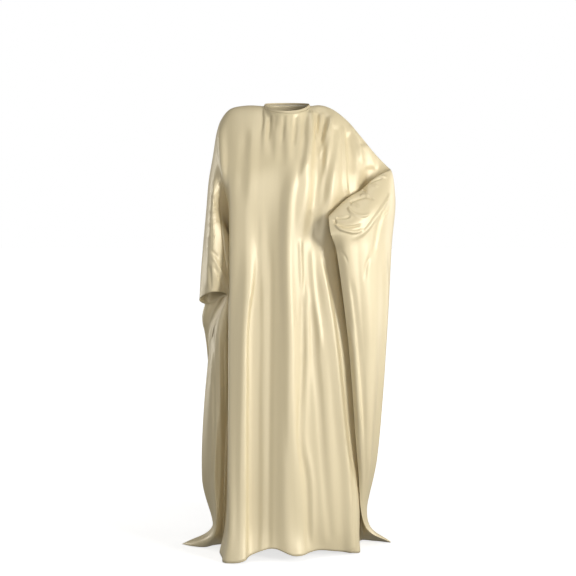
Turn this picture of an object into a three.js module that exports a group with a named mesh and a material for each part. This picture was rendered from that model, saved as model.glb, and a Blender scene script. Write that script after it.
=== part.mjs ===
// A batwing abaya as it is worn: one arm hangs, the other is bent with its hand on the hip.
// Millimetres, +Z up. The wearer faces -Y, and the wearer's left arm is on the +X side.
// Heights in the tables are above the floor. The finished group is lowered so that the origin
// lies between the two neck points, where the garment rests on the shoulders.
// On the cut, flat is the distance from the centre line: negative for the hanging arm's half.
import * as THREE from "three";

const CLOTH = 1.6; // thickness of the satin wall
const SEAM_GAP = 0.3; // between two pieces that are sewn together
const NECK_POINT_HEIGHT = 1462; // floor to the point where neckline and shoulder seam meet
const NECK_HALF_WIDTH = 76;
const NECK_FRONT_DEPTH = 77; // neck point forward to the front of the neckline
const NECK_BACK_DEPTH = 58;
const NECK_FRONT_DROP = 30; // the front neckline lies this much lower than the neck points
const NECK_BACK_RISE = 8;
const NECK_FLAT = 120; // half of the gathered front neckline, measured on the flat cut
const HALF_SPAN = 850; // centre line to cuff edge, measured on the flat cut
const SEAM_Y = 5;

// The neckline gets a folded binding.
const BINDING_HEIGHT = 8;
const BINDING_THICKNESS = 2.4;
const BINDING_CLEARANCE = 0.9;

// Heights of the two levels that every panel line passes below the arms.
const THIGH = 690;
const SHIN = 300;

// The grid of a panel.
const ROWS_PER_LEVEL = [5, 4, 4, 3, 3, 4];
const COLUMN_WIDTH = 26;
const MOST_MITRE = 2; // the wall in the hollow of a sharp fold is at most this many times as thick
const GATHER_COLUMN_WIDTH = 17;
const GATHER_ZONE = 120;

const satin = new THREE.Color(0.86, 0.78, 0.58);

// The over-arm seams, from the neck point over the shoulder and along the arm to the cuff: x, y, height.
const HANGING_ARM_SEAM = [
  [-76, 5, 1462], [-135, 8, 1464], [-188, 8, 1452], [-217, 6, 1417], [-231, 4, 1377], [-244, 2, 1298],
  [-257, 0, 1219], [-265, -6, 1120], [-274, -14, 1021], [-282, -22, 920], [-287, -28, 823],
];
const BENT_ARM_SEAM = [
  [76, 5, 1462], [110, 8, 1465], [146, 8, 1454], [196, 8, 1417], [248, 8, 1357], [294, 8, 1300],
  [326, 3, 1266], [338, -14, 1252], [326, -36, 1244], [302, -48, 1233], [272, -58, 1212], [242, -70, 1184],
  [204, -88, 1162], [166, -110, 1130], [134, -130, 1098],
];

// The side seams from the cuff corner down to the hem, in five points: lower, thigh, shin, ankle and hem.
const HANGING_SIDE_SEAM = [
  [-194, -38, 838], [-242, -8, 725], [-281, 14, 232], [-251, 35, 54], [-352, 63, 2],
];
const BENT_SIDE_SEAM = [[157, -142, 990], [197, -114], [229, -86], [259, -8, 76], [349, 83, 2]];

// Each row is one line of the cloth from its top edge down to the hem.
// flat is its distance from the centre line on the cut. upper is on the chest, or half way round the
// sleeve. lower is at the waist, or under the sleeve. Points are x, y, height; thigh and shin leave out the
// height where it is THIGH or SHIN.
// flat, upper, lower, thigh, shin, ankle, hem
const FRONT_LINES = [
  [-850, [-244, -80, 853], ...HANGING_SIDE_SEAM],
  [-770, [-243, -90, 920], [-194, -54, 860], [-226, -50, 740], [-258, -26], [-246, 0, 62], [-316, 30, 3]],
  [-670, [-245, -92, 990], [-192, -60, 920], [-202, -44], [-237, -44], [-236, -24, 62], [-272, 18, 3]],
  [-570, [-244, -92, 1090], [-191, -60, 1040], [-190, -30], [-217, -24], [-223, -10, 66], [-244, 40, 4]],
  [-470, [-237, -88, 1185], [-178, 8, 1010], [-179, -10], [-203, -2], [-210, 8, 76], [-216, 46, 5]],
  [-380, [-218, -84, 1245], [-156, 0, 1000], [-168, -36], [-190, -46], [-204, -40, 80], [-220, -44, 4]],
  [-310, [-208, -96, 1265], [-176, -60, 1000], [-180, -76], [-189, -98], [-196, -108, 85], [-208, -118, 3]],
  [-245, [-186, -105, 1265], [-184, -106, 1000], [-187, -112], [-185, -146], [-185, -168, 90], [-197, -182, 3]],
  [-180, [-140, -116, 1265], [-134, -118, 1000], [-143, -125], [-150, -148], [-150, -164, 95], [-146, -184, 5]],
  [-120, [-88, -119, 1265], [-90, -112, 1000], [-100, -118], [-106, -136], [-108, -146, 95], [-106, -158, 24]],
  [-40, [-30, -122, 1265], [-38, -117, 1000], [-42, -124], [-46, -141], [-46, -147, 95], [-44, -152, 40]],
  [40, [27, -126, 1265], [15, -124, 1000], [10, -132], [10, -146], [14, -150, 95], [26, -160, 18]],
  [120, [86, -106, 1262], [78, -104, 1000], [78, -115], [86, -118], [90, -118, 95], [100, -108, 24]],
  [185, [132, -98, 1255], [122, -94, 1000], [132, -106], [146, -104], [152, -98, 90], [160, -86, 16]],
  [255, [186, -78, 1225], [158, -76, 1030], [178, -92], [209, -80], [226, -70, 85], [233, -58, 3]],
  [330, [232, -50, 1195], [190, -36, 1010], [204, -70], [232, -54], [236, -34, 90], [238, 14, 4]],
  [410, [262, -12, 1185], [250, 6, 1010], [250, -18], [252, -2], [243, 34, 80], [242, 84, 4]],
  [510, [285, -8, 1180], [318, 0, 1010], [316, 6], [280, 24], [250, 62, 76], [256, 112, 4]],
  [580, [278, -34, 1150], [300, -24, 1010], [302, -24], [278, 0], [254, 54, 76], [272, 108, 4]],
  [645, [250, -50, 1130], [262, -46, 1010], [272, -48], [265, -24], [253, 36, 76], [290, 100, 4]],
  [710, [222, -66, 1098], [218, -72, 1005], [240, -70], [250, -46], [253, 22, 76], [309, 94, 4]],
  [780, [188, -84, 1068], [182, -94, 1000], [214, -92], [238, -68], [256, 6, 76], [329, 88, 3]],
  [850, [151, -98, 1044], ...BENT_SIDE_SEAM],
];

// flat, upper, lower, thigh, shin, ankle, hem
const BACK_LINES = [
  [-850, [-261, 8, 808], ...HANGING_SIDE_SEAM],
  [-770, [-262, 22, 898], [-214, 38, 866], [-255, 37, 735], [-262, 44], [-250, 60, 62], [-332, 98, 3]],
  [-670, [-252, 44, 985], [-260, 60, 848], [-276, 62, 722], [-250, 74], [-243, 88, 66], [-294, 128, 3]],
  [-570, [-244, 50, 1088], [-234, 62, 930], [-228, 78], [-236, 98], [-234, 112, 72], [-258, 150, 4]],
  [-470, [-238, 60, 1180], [-212, 76, 1000], [-206, 92], [-217, 118], [-219, 134, 80], [-228, 164, 4]],
  [-380, [-224, 76, 1240], [-194, 90, 1010], [-190, 104], [-198, 136], [-201, 154, 85], [-205, 178, 4]],
  [-310, [-200, 91, 1260], [-166, 104, 1005], [-166, 118], [-172, 150], [-175, 170, 90], [-178, 194, 4]],
  [-210, [-142, 100, 1265], [-120, 111, 1000], [-122, 127], [-126, 161], [-128, 183, 90], [-130, 207, 4]],
  [-120, [-80, 104, 1270], [-70, 115, 1000], [-72, 133], [-74, 169], [-75, 193, 90], [-76, 217, 4]],
  [0, [0, 105, 1270], [0, 118, 1000], [0, 136], [0, 174], [0, 198, 90], [0, 222, 4]],
  [120, [80, 104, 1268], [74, 115, 1000], [74, 133], [74, 169], [74, 193, 90], [74, 217, 4]],
  [210, [146, 99, 1252], [134, 111, 1000], [132, 127], [130, 161], [130, 183, 90], [130, 207, 4]],
  [300, [216, 86, 1225], [196, 104, 1000], [192, 116], [184, 146], [180, 164, 90], [184, 190, 4]],
  [410, [296, 66, 1195], [272, 82, 1000], [262, 90], [236, 114], [222, 134, 95], [238, 168, 4]],
  [460, [332, 44, 1180], [322, 58, 1000], [312, 62], [270, 82], [246, 106, 100], [268, 157, 4]],
  [510, [356, -6, 1165], [344, 8, 1000], [328, 12], [297, 34], [262, 90, 80], [293, 146, 4]],
  [580, [334, -78, 1145], [332, -66, 1000], [318, -56], [294, -12], [268, 74, 78], [314, 134, 4]],
  [645, [278, -126, 1120], [282, -114, 1000], [288, -98], [274, -56], [272, 50, 76], [331, 122, 4]],
  [710, [224, -154, 1085], [230, -146, 1000], [250, -122], [257, -84], [272, 28, 76], [342, 108, 4]],
  [780, [176, -166, 1060], [186, -158, 995], [218, -128], [241, -93], [268, 8, 76], [348, 95, 3]],
  [850, [138, -164, 1044], ...BENT_SIDE_SEAM],
];

// Folds that lie on the panels: a ridge where depth is positive and a trough where it is negative.
// top and bottom are the fold's places on the cut at the two ends of its run, width is its breadth there,
// and from and to are levels: 0 is the top edge, 1 upper, 2 lower, 3 thigh, 4 shin, 5 ankle, 6 hem.
const FRONT_FOLDS = [
  { top: -66, bottom: -70, width: 36, depth: -5, from: 0.02, to: 1.0 },
  { top: -18, bottom: -20, width: 36, depth: -5, from: 0.02, to: 1.1 },
  { top: 30, bottom: 32, width: 36, depth: -5, from: 0.02, to: 1.1 },
  { top: 78, bottom: 84, width: 36, depth: -5, from: 0.02, to: 1.0 },
  { top: 120, bottom: 70, width: 46, depth: 8, from: 0.1, to: 2.0 },
  { top: 160, bottom: 120, width: 46, depth: -9, from: 0.1, to: 2.0 },
  { top: 205, bottom: 200, width: 50, depth: 9, from: 0.1, to: 1.9 },
  { top: 262, bottom: 285, width: 54, depth: -8, from: 0.15, to: 1.6 },
  { top: 30, bottom: 24, width: 64, depth: 5, from: 0.8, to: 6.6 },
  { top: -75, bottom: -90, width: 60, depth: -4, from: 0.9, to: 6.6 },
  { top: 90, bottom: 66, width: 54, depth: -4, from: 2.0, to: 6.6 },
  { top: 175, bottom: 170, width: 56, depth: 5, from: 2.2, to: 6.6 },
  { top: -165, bottom: -170, width: 44, depth: 4, from: 1.2, to: 6.6 },
  { top: -270, bottom: -345, width: 60, depth: 7, from: 0.1, to: 1.7 },
];

const BACK_FOLDS = [
  { top: -60, bottom: -70, width: 90, depth: -10, from: 0.5, to: 6.6 },
  { top: 10, bottom: 14, width: 80, depth: 10, from: 0.3, to: 6.6 },
  { top: 82, bottom: 92, width: 84, depth: -11, from: 0.4, to: 6.6 },
  { top: 160, bottom: 168, width: 84, depth: 11, from: 0.5, to: 6.6 },
  { top: 245, bottom: 250, width: 90, depth: -12, from: 0.5, to: 6.6 },
  { top: 340, bottom: 335, width: 90, depth: 11, from: 0.6, to: 6.6 },
  { top: -150, bottom: -150, width: 84, depth: 10, from: 0.5, to: 6.6 },
  { top: -235, bottom: -235, width: 84, depth: -11, from: 0.5, to: 6.6 },
  { top: -330, bottom: -330, width: 90, depth: 10, from: 0.8, to: 6.6 },
  { top: -690, bottom: -670, width: 90, depth: 11, from: 1.7, to: 3.2 },
  { top: -700, bottom: -680, width: 130, depth: -11, from: 2.9, to: 4.3 },
  { top: 560, bottom: 615, width: 60, depth: -7, from: 0.5, to: 5.0 },
  { top: 660, bottom: 690, width: 60, depth: 7, from: 1.2, to: 5.0 },
];

const vector = ([x, y, z]) => new THREE.Vector3(x, y, z);

// A centripetal Catmull-Rom curve between b and c, with a and d as the points before and after them.
function between(a, b, c, d, share) {
  const knots = [0];
  for (const [p, q] of [[a, b], [b, c], [c, d]]) {
    knots.push(knots[knots.length - 1] + Math.max(Math.sqrt(p.distanceTo(q)), 1e-3));
  }
  const t = knots[1] + (knots[2] - knots[1]) * share;
  const mix = (p, q, i, j) => p.clone().lerp(q, (t - knots[i]) / (knots[j] - knots[i]));
  const ab = mix(a, b, 0, 1);
  const bc = mix(b, c, 1, 2);
  const cd = mix(c, d, 2, 3);
  return mix(mix(ab, bc, 0, 2), mix(bc, cd, 1, 3), 1, 2);
}

const beyond = (near, far) => near.clone().multiplyScalar(2).sub(far);

// The point at a place between 0 and points.length - 1 along a curve through the points.
// before is the point that stands before the first one, where the curve goes on past its start.
function along(points, place, before) {
  const last = points.length - 1;
  const i = Math.min(Math.floor(place), last - 1);
  const a = i > 0 ? points[i - 1] : before ?? beyond(points[0], points[1]);
  const d = i + 2 <= last ? points[i + 2] : beyond(points[last], points[last - 1]);
  return between(a, points[i], points[i + 1], d, place - i);
}

// An over-arm seam as a curve of even speed: share 0 is the neck point and 1 the cuff.
function seamCurve(rows) {
  const curve = new THREE.CatmullRomCurve3(rows.map(vector), false, "centripetal");
  curve.arcLengthDivisions = 400;
  return curve;
}
const hangingArmSeam = seamCurve(HANGING_ARM_SEAM);
const bentArmSeam = seamCurve(BENT_ARM_SEAM);

// The top edge of a panel, by the distance from the centre line on the cut.
// side is -1 for the front and 1 for the back.
function topEdge(flat, side) {
  if (Math.abs(flat) >= NECK_FLAT) {
    const share = (Math.abs(flat) - NECK_FLAT) / (HALF_SPAN - NECK_FLAT);
    return (flat < 0 ? hangingArmSeam : bentArmSeam).getPointAt(Math.min(share, 1));
  }
  const turn = (flat / NECK_FLAT) * (Math.PI / 2);
  const depth = side < 0 ? NECK_FRONT_DEPTH : NECK_BACK_DEPTH;
  const rise = side < 0 ? -NECK_FRONT_DROP : NECK_BACK_RISE;
  return new THREE.Vector3(
    NECK_HALF_WIDTH * Math.sin(turn),
    SEAM_Y + side * depth * Math.cos(turn),
    NECK_POINT_HEIGHT + rise * Math.cos(turn),
  );
}

// A panel line passes seven levels: 0 top edge, 1 upper, 2 lower, 3 thigh, 4 shin, 5 ankle, 6 hem.
const EDGE_CORNER = 2; // on the edge lines the cuff ends here and the side seam begins
const HEM = 6;

// A panel is a net of control points, one row for each line of its table.
function panelNet(lines, side) {
  return lines.map(([flat, upper, lower, thigh, shin, ankle, hem]) => ({
    flat,
    points: [
      topEdge(flat, side),
      vector(upper),
      vector(lower),
      vector([...thigh, THIGH]),
      vector([...shin, SHIN]),
      vector(ankle),
      vector(hem),
    ],
  }));
}
const nets = { front: panelNet(FRONT_LINES, -1), back: panelNet(BACK_LINES, 1) };

// The upper point of the other panel at the same place on the cut, so that cloth runs smoothly over a seam.
function acrossSeam(net, flat) {
  if (Math.abs(flat) < NECK_FLAT) return undefined;
  const i = Math.min(net.findIndex((line, n) => net[n + 1]?.flat >= flat), net.length - 2);
  const share = (flat - net[i].flat) / (net[i + 1].flat - net[i].flat);
  return net[i].points[1].clone().lerp(net[i + 1].points[1], share);
}

// A point of one line of the net. On the two edge lines the cuff goes over into the side seam, and the seam
// runs the same way in both panels.
function onLine(line, level, other) {
  const isEdge = Math.abs(line.flat) === HALF_SPAN;
  if (!isEdge || level < EDGE_CORNER) return along(line.points, level, acrossSeam(other, line.flat));
  const cuffs = line.points[1].clone().add(acrossSeam(other, line.flat)).multiplyScalar(0.5);
  return along(line.points.slice(EDGE_CORNER), level - EDGE_CORNER, cuffs);
}

const smooth = (x) => THREE.MathUtils.smoothstep(x, 0, 1);

// A panel's smooth form at a place across (in lines of its table) and a level down.
function baseForm(net, other, side, place, level) {
  const i = Math.min(Math.floor(place), net.length - 2);
  const share = place - i;
  const p = [-1, 0, 1, 2].map((n) => {
    const line = net[i + n];
    return line ? onLine(line, level, other) : null;
  });
  const spline = (a, b, c, d) => between(a ?? beyond(b, c), b, c, d ?? beyond(c, b), share);
  const point = spline(...p);
  if (level < 1) {
    const q = [-1, 0, 1, 2].map((n) => net[i + n]?.points[0] ?? null);
    const flat = THREE.MathUtils.lerp(net[i].flat, net[i + 1].flat, share);
    const slip = topEdge(flat, side).sub(spline(...q));
    point.addScaledVector(slip, 1 - smooth(level));
  }
  return point;
}

// How far the folds of a table lift the cloth at a place on the cut and a level.
function foldLift(folds, flat, level) {
  let lift = 0;
  for (const fold of folds) {
    const run = (level - fold.from) / (fold.to - fold.from);
    if (run <= 0 || run >= 1) continue;
    const centre = THREE.MathUtils.lerp(fold.top, fold.bottom, run);
    const across = Math.abs(flat - centre) / fold.width;
    if (across >= 1) continue;
    const rise = smooth(run / 0.25) * smooth((1 - run) / 0.35);
    lift += fold.depth * rise * (0.5 + 0.5 * Math.cos(Math.PI * across));
  }
  return lift;
}

const panels = {
  front: { net: nets.front, other: nets.back, folds: FRONT_FOLDS, side: -1 },
  back: { net: nets.back, other: nets.front, folds: BACK_FOLDS, side: 1 },
};

// The outward normal of a panel's smooth form.
function outward(panel, place, level) {
  const step = 0.02;
  const wide = panel.net.length - 1;
  const at = (u, v) => baseForm(panel.net, panel.other, panel.side, u, v);
  const across = at(Math.min(place + step, wide), level).sub(at(Math.max(place - step, 0), level));
  const down = at(place, Math.min(level + step, HEM)).sub(at(place, Math.max(level - step, 0)));
  return across.cross(down).multiplyScalar(panel.side).normalize();
}

const flatAt = (net, place) => {
  const i = Math.min(Math.floor(place), net.length - 2);
  return THREE.MathUtils.lerp(net[i].flat, net[i + 1].flat, place - i);
};

const placeAt = (net, flat) => {
  let i = 0;
  while (i < net.length - 2 && net[i + 1].flat < flat) i++;
  return i + (flat - net[i].flat) / (net[i + 1].flat - net[i].flat);
};

// The middle of the cloth, with its folds.
function clothAt(panel, place, level) {
  const lift = foldLift(panel.folds, flatAt(panel.net, place), level);
  const point = baseForm(panel.net, panel.other, panel.side, place, level);
  const edge = smooth((HALF_SPAN - Math.abs(flatAt(panel.net, place))) / 60);
  return lift === 0 ? point : point.addScaledVector(outward(panel, place, level), lift * edge);
}

// How far the edge of a panel is drawn back from the seam line, so that the two walls stay SEAM_GAP apart:
// further where they meet at a sharp angle. alongSeam runs down the seam; into and otherInto point into
// the two panels.
function drawnBack(alongSeam, into, otherInto) {
  const t = alongSeam.clone().normalize();
  const a = into.clone().addScaledVector(t, -into.dot(t)).normalize();
  const b = otherInto.clone().addScaledVector(t, -otherInto.dot(t)).normalize();
  const half = Math.max(a.angleTo(b), 0.3) / 2;
  return a.multiplyScalar((SEAM_GAP / 2 + (CLOTH / 2) * Math.cos(half)) / Math.sin(half));
}

// Where the columns of both panels stand on the cut: the same for both, so that their seams agree.
function columnFlats() {
  const lines = [...new Set([...FRONT_LINES, ...BACK_LINES].map(([flat]) => flat))].sort((a, b) => a - b);
  const flats = [lines[0]];
  for (let i = 0; i + 1 < lines.length; i++) {
    const span = lines[i + 1] - lines[i];
    const gathered = Math.abs(lines[i] + lines[i + 1]) / 2 < GATHER_ZONE;
    const count = Math.ceil(span / (gathered ? GATHER_COLUMN_WIDTH : COLUMN_WIDTH));
    for (let n = 1; n <= count; n++) flats.push(lines[i] + (span * n) / count);
  }
  return flats;
}

// A panel as a closed wall of even thickness over a grid of places and levels.
function wall(name) {
  const panel = panels[name];
  const partner = panels[name === "front" ? "back" : "front"];
  const { net } = panel;
  const wide = net.length - 1;
  const places = columnFlats().map((flat) => placeAt(net, flat));
  const levels = [0];
  ROWS_PER_LEVEL.forEach((rows, level) => {
    for (let r = 1; r <= rows; r++) levels.push(level + r / rows);
  });

  const firstRow = levels[1];
  const firstColumn = places[1];
  const middle = places.map((place) => {
    const flat = flatAt(net, place);
    const partnerPlace = placeAt(partner.net, flat);
    return levels.map((level) => {
      const point = clothAt(panel, place, level);
      const seamPoint = baseForm(net, panel.other, panel.side, place, level);
      if (level === 0 && Math.abs(flat) >= NECK_FLAT) {
        const next = Math.min(place + 0.05, wide);
        const alongSeam = baseForm(net, panel.other, panel.side, next, 0).sub(
          baseForm(net, panel.other, panel.side, next - 0.05, 0),
        );
        const into = clothAt(panel, place, firstRow).sub(seamPoint);
        const otherInto = clothAt(partner, partnerPlace, firstRow).sub(seamPoint);
        point.add(drawnBack(alongSeam, into, otherInto));
      }
      if (Math.abs(flat) === HALF_SPAN && level >= EDGE_CORNER) {
        const inward = flat < 0 ? firstColumn : -firstColumn;
        const next = Math.min(level + 0.05, HEM);
        const alongSeam = baseForm(net, panel.other, panel.side, place, next).sub(
          baseForm(net, panel.other, panel.side, place, next - 0.05),
        );
        const into = clothAt(panel, place + inward, level).sub(seamPoint);
        const otherInto = clothAt(partner, partnerPlace + inward, level).sub(seamPoint);
        point.add(drawnBack(alongSeam, into, otherInto));
      }
      return point;
    });
  });

  // Normals come from the finished grid, so that the wall is as thick on a fold as beside it.
  const at = (i, j) => middle[i]?.[j];
  const near = (i, j, di, dj) => at(i + di, j + dj) ?? at(i, j);
  const step = (i, j, di, dj) => near(i, j, di, dj).clone().sub(near(i, j, -di, -dj));
  const normalAt = (i, j) => {
    const normal = step(i, j, 1, 0).cross(step(i, j, 0, 1));
    return normal.multiplyScalar(panel.side).normalize();
  };

  // How far the wall stands out at a grid point, to the outside (sign 1) or the inside (sign -1).
  // In the hollow of a fold it stands out further, so that the two flanks do not run through each other.
  function reach(i, j, normal, sign) {
    const p = at(i, j);
    let bend = 0;
    let least = 1;
    for (const di of [1, -1]) {
      for (const dj of [1, -1]) {
        const a = at(i + di, j);
        const b = at(i, j + dj);
        if (!a || !b) continue;
        bend += a.clone().sub(p).dot(normal) + b.clone().sub(p).dot(normal);
        const face = a.clone().sub(p).cross(b.clone().sub(p)).multiplyScalar(di * dj * panel.side);
        least = Math.min(least, face.normalize().dot(normal));
      }
    }
    const hollow = sign * bend > 0;
    return (sign * CLOTH * (hollow ? 1 / Math.max(least, 1 / MOST_MITRE) : 1)) / 2;
  }

  const columns = places.length;
  const rows = levels.length;
  const positions = [];
  for (const sign of [1, -1]) {
    for (let i = 0; i < columns; i++) {
      for (let j = 0; j < rows; j++) {
        const normal = normalAt(i, j);
        const p = middle[i][j].clone().addScaledVector(normal, reach(i, j, normal, sign));
        positions.push(p.x, p.y, p.z);
      }
    }
  }
  const outer = (i, j) => i * rows + j;
  const inner = (i, j) => columns * rows + i * rows + j;
  const index = [];
  const quad = (a, b, c, d) => {
    const corners = panel.side > 0 ? [a, b, c, a, c, d] : [a, c, b, a, d, c];
    index.push(...corners);
  };
  for (let i = 0; i < columns - 1; i++) {
    for (let j = 0; j < rows - 1; j++) {
      quad(outer(i, j), outer(i + 1, j), outer(i + 1, j + 1), outer(i, j + 1));
      quad(inner(i, j), inner(i, j + 1), inner(i + 1, j + 1), inner(i + 1, j));
    }
  }
  for (let i = 0; i < columns - 1; i++) {
    quad(outer(i, 0), inner(i, 0), inner(i + 1, 0), outer(i + 1, 0));
    quad(outer(i, rows - 1), outer(i + 1, rows - 1), inner(i + 1, rows - 1), inner(i, rows - 1));
  }
  for (let j = 0; j < rows - 1; j++) {
    quad(outer(0, j), outer(0, j + 1), inner(0, j + 1), inner(0, j));
    const end = columns - 1;
    quad(outer(end, j), inner(end, j), inner(end, j + 1), outer(end, j + 1));
  }
  const geometry = new THREE.BufferGeometry();
  geometry.setAttribute("position", new THREE.Float32BufferAttribute(positions, 3));
  geometry.setIndex(index);
  return geometry;
}

// The neck binding: a folded strip that stands on the neckline, as a ring of rounded sections.
function neckBinding() {
  const around = 48;
  const section = [
    [-0.5, 0.08], [-0.5, 0.8], [-0.3, 1], [0.3, 1], [0.5, 0.8], [0.5, 0.08], [0.3, 0], [-0.3, 0],
  ];
  const edgeAt = (turn) => {
    const flat = (turn < 0.5 ? turn * 4 - 1 : 3 - turn * 4) * NECK_FLAT;
    return topEdge(Math.max(-NECK_FLAT + 1e-6, Math.min(NECK_FLAT - 1e-6, flat)), turn < 0.5 ? -1 : 1);
  };
  const positions = [];
  const index = [];
  for (let i = 0; i < around; i++) {
    const turn = i / around;
    const base = edgeAt(turn);
    const ahead = edgeAt((turn + 0.004) % 1);
    const behind = edgeAt((turn + 0.996) % 1);
    const tangent = ahead.sub(behind).normalize();
    const centre = new THREE.Vector3(0, SEAM_Y, base.z);
    const inward = centre.sub(base).normalize();
    const rise = new THREE.Vector3(0, 0, 0.9).addScaledVector(inward, 0.45);
    rise.addScaledVector(tangent, -rise.dot(tangent)).normalize();
    const across = tangent.clone().cross(rise).normalize();
    for (const [x, h] of section) {
      const p = base
        .clone()
        .addScaledVector(rise, BINDING_CLEARANCE + h * BINDING_HEIGHT)
        .addScaledVector(across, x * BINDING_THICKNESS);
      positions.push(p.x, p.y, p.z);
    }
  }
  const n = section.length;
  for (let i = 0; i < around; i++) {
    const next = (i + 1) % around;
    for (let k = 0; k < n; k++) {
      const m = (k + 1) % n;
      index.push(i * n + k, i * n + m, next * n + m, i * n + k, next * n + m, next * n + k);
    }
  }
  const geometry = new THREE.BufferGeometry();
  geometry.setAttribute("position", new THREE.Float32BufferAttribute(positions, 3));
  geometry.setIndex(index);
  return geometry;
}

function piece(name, geometry, colour) {
  const material = new THREE.MeshStandardMaterial({ color: colour, roughness: 0.35, metalness: 0.1 });
  const mesh = new THREE.Mesh(geometry, material);
  mesh.name = name;
  return mesh;
}

const worn = new THREE.Group();
worn.add(piece("front_panel", wall("front"), satin));
worn.add(piece("back_panel", wall("back"), satin));
worn.add(piece("neck_binding", neckBinding(), satin.clone().multiplyScalar(0.96)));
worn.position.z = -NECK_POINT_HEIGHT;

const abaya = new THREE.Group();
abaya.add(worn);
export default abaya;
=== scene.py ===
# %% [markdown]
# A batwing abaya in plain satin, in the form that it has when it is worn: one sleeve hangs and the other
# one is bent towards the hip. The garment is two big panels, sewn together over the sleeves and down the
# sides, and a narrow neck binding. This lesson shows how cloth can be worked out as a surface with two
# parameters: how far a point lies from the centre line on the flat cut, and how far down the panel it
# lies. First the fixed frame is loaded.

import bpy
import numpy as np
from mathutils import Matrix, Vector


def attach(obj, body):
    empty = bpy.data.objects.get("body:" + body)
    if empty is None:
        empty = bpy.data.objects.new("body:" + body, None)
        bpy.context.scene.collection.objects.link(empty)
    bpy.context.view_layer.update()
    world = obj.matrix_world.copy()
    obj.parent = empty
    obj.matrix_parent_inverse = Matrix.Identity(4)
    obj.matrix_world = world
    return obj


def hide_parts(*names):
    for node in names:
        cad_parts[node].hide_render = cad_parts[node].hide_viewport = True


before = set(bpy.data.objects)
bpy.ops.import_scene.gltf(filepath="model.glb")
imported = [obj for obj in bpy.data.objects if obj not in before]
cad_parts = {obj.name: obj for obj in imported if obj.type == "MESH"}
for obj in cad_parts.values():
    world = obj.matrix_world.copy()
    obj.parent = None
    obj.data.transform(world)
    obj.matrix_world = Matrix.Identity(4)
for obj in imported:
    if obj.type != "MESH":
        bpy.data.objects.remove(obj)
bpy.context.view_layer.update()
print("nodes:", sorted(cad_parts))

# %% [markdown]
# The camera comes first, because everything is judged through it. It stands level, a little above the
# middle of the garment, and its picture is shifted down instead of tilting the camera, so that upright
# folds stay upright. The Standard view keeps colours as they are.

# %% Camera
NECK_POINT = 1.462  # floor to the neck points, where the origin lies
FLOOR = -NECK_POINT
CAMERA_DISTANCE = 4.2
CAMERA_HEIGHT = 1.060  # above the floor
SENSOR = 36.0  # millimetres
PICTURE = 576  # pixels each way
FOCAL_LENGTH = 1273  # in pixels, as the two shifts are
SHIFT_RIGHT = 1
SHIFT_DOWN = 60

scene = bpy.context.scene
scene.view_settings.view_transform = "Standard"
scene.view_settings.look = "None"

camera_data = bpy.data.cameras.new("camera")
camera_data.sensor_width = SENSOR
camera_data.lens = FOCAL_LENGTH / PICTURE * SENSOR
camera_data.shift_x = SHIFT_RIGHT / PICTURE
camera_data.shift_y = -SHIFT_DOWN / PICTURE
camera = bpy.data.objects.new("camera", camera_data)
camera.location = (0.0, -CAMERA_DISTANCE, CAMERA_HEIGHT - NECK_POINT)
camera.rotation_euler = (np.pi / 2, 0.0, 0.0)
scene.collection.objects.link(camera)
scene.camera = camera
print("camera lens:", round(camera_data.lens, 2), "mm")

# %% [markdown]
# Satin shows its form by its highlights. The key is a soft box from the front right, narrow enough to
# draw a bright line on each ridge and tall enough to run that line down the fold. A box at the side and
# one in front soften the shadows, a weak one on the left leaves that side darker, and two from behind and
# one from above draw the outline. All of them are a little warm.

# %% Lights
AIM = Vector((0.0, 0.0, -0.85))
WARM = (1.0, 0.985, 0.95)


def area_light(name, turn, lift, power, width=1.3, height=2.4, distance=4.0):
    """A soft box that faces the point AIM. turn is the angle round the garment from the front, in degrees
    and positive to the right of the picture, and lift is the angle up from level."""
    a, e = np.radians(turn), np.radians(lift)
    data = bpy.data.lights.new(name, "AREA")
    data.shape = "RECTANGLE"
    data.size = width
    data.size_y = height
    data.energy = power
    data.color = WARM
    light = bpy.data.objects.new(name, data)
    light.location = AIM + distance * Vector((np.sin(a) * np.cos(e), -np.cos(a) * np.cos(e), np.sin(e)))
    light.rotation_euler = (AIM - light.location).to_track_quat("-Z", "Y").to_euler()
    scene.collection.objects.link(light)
    return light


area_light("key", 44, 12, 104.0, width=0.8, height=1.4)
area_light("side", 82, 6, 40.0)
area_light("front", 0, 4, 40.0)
area_light("left", -64, 10, 15.0)
area_light("rim right", 124, 10, 34.0)
area_light("rim left", -122, 10, 44.0)
area_light("top", 0, 74, 24.0)

# %% [markdown]
# The studio is a white surround. Its world lights the cloth a little from all sides, and what the camera
# sees of it is plain white.

# %% World
WORLD_STRENGTH = 0.14

world = bpy.data.worlds.new("studio")
scene.world = world
world.use_nodes = True
tree = world.node_tree
tree.nodes.clear()
soft = tree.nodes.new("ShaderNodeBackground")
soft.inputs["Color"].default_value = (1.0, 0.99, 0.97, 1.0)
soft.inputs["Strength"].default_value = WORLD_STRENGTH
white = tree.nodes.new("ShaderNodeBackground")
white.inputs["Color"].default_value = (1.0, 1.0, 1.0, 1.0)
white.inputs["Strength"].default_value = 1.0
rays = tree.nodes.new("ShaderNodeLightPath")
pick = tree.nodes.new("ShaderNodeMixShader")
surround = tree.nodes.new("ShaderNodeOutputWorld")
tree.links.new(rays.outputs["Is Camera Ray"], pick.inputs[0])
tree.links.new(soft.outputs[0], pick.inputs[1])
tree.links.new(white.outputs[0], pick.inputs[2])
tree.links.new(pick.outputs[0], surround.inputs["Surface"])
print("world strength:", WORLD_STRENGTH)

# %% [markdown]
# The floor glows more with the distance from the garment, so that it turns white like the background but
# still takes the soft shadow of the hem. It throws no light on the cloth and doesn't mirror in it.

# %% Floor
FLOOR_REACH = 60.0
GLOW_NEAR, GLOW_FAR = 0.72, 1.0
NEAR, FAR = 1.5, 3.5  # metres from the origin

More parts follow.
